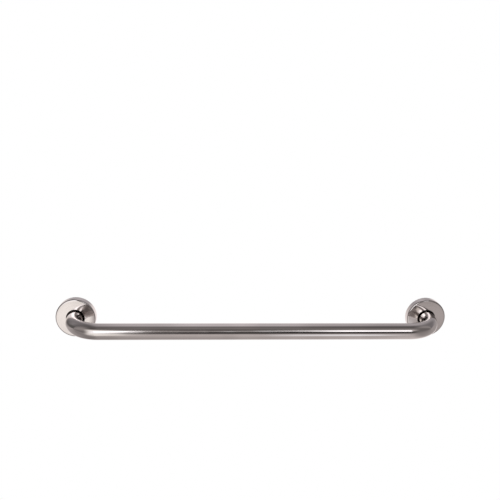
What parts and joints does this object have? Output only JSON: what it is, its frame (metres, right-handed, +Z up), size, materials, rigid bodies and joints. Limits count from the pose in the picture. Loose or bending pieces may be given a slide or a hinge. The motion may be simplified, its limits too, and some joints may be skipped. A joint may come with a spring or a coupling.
{
  "type": "grab rail",
  "caption": "Round polished steel grab rail: a tube bent at both ends, welded to round wall flanges that are hidden by push-on cover plates with a hole for the tube.",
  "frame": {"origin": "in the wall plane, on the line between the two flange centres and midway between them", "axes": "+X along the rail to its right end, +Y into the wall, +Z up; the bar stands off the wall towards -Y"},
  "size_m": [0.8, 0.101, 0.08],
  "materials": {
    "polished_tube": "mirror-polished stainless steel",
    "polished_cover": "mirror-polished stainless steel sheet",
    "flange_plate": "plain stainless steel plate",
    "weld_metal": "as-welded stainless steel"
  },
  "bodies": {
    "rail": {"rail_tube": "polished_tube", "left_mounting_flange": "flange_plate", "right_mounting_flange": "flange_plate", "left_weld_bead": "weld_metal", "right_weld_bead": "weld_metal"},
    "left_cover": {"left_cover_plate": "polished_cover"},
    "right_cover": {"right_cover_plate": "polished_cover"}
  },
  "joints": [
    {"name": "left_cover_slide", "type": "slide", "parent": "rail", "child": "left_cover", "axis": [0, -1, 0], "range_m": [0, 0.024]},
    {"name": "right_cover_slide", "type": "slide", "parent": "rail", "child": "right_cover", "axis": [0, -1, 0], "range_m": [0, 0.024]}
  ]
}
